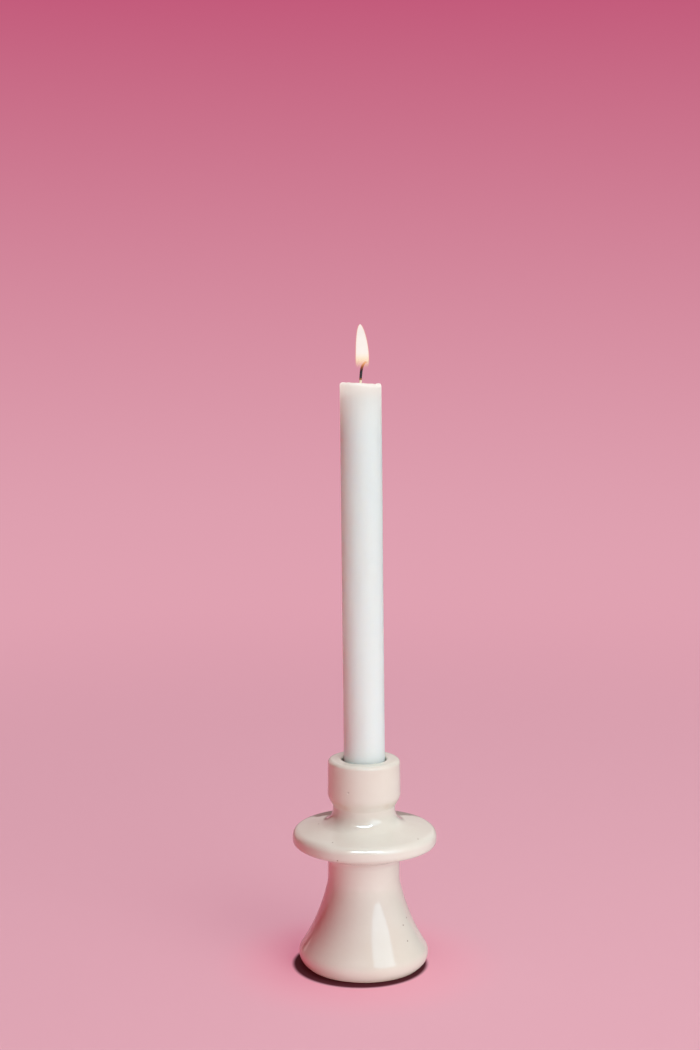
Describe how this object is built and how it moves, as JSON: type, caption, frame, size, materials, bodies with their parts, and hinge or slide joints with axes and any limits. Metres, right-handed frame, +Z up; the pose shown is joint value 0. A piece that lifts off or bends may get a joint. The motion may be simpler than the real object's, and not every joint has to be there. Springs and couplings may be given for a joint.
{
  "type": "candlestick",
  "caption": "Glazed ceramic candlestick with a flared hollow foot, a drip pan and a socket holding a lift-out dinner candle.",
  "frame": {"origin": "centre of the foot, on the table it stands on", "axes": "+Z up along the candlestick's axis, +X to the right and +Y to the back; the candle leans towards -X"},
  "size_m": [0.0784, 0.0784, 0.3266],
  "materials": {
    "clay": "matt, fired and unglazed",
    "glaze": "gloss, cream",
    "wax": "satin, slightly translucent white",
    "wick": "braided cotton, charred at its end",
    "melted_wax": "liquid gloss"
  },
  "bodies": {
    "candlestick": {"clay_body": "clay", "glaze_coat": "glaze"},
    "taper": {"candle": "wax", "wick": "wick", "melt_pool": "melted_wax"}
  },
  "joints": [
    {"name": "candle_lift", "type": "slide", "parent": "candlestick", "child": "taper", "axis": [-0.0112, 0, 0.9999], "range_m": [0, 0.05]}
  ]
}
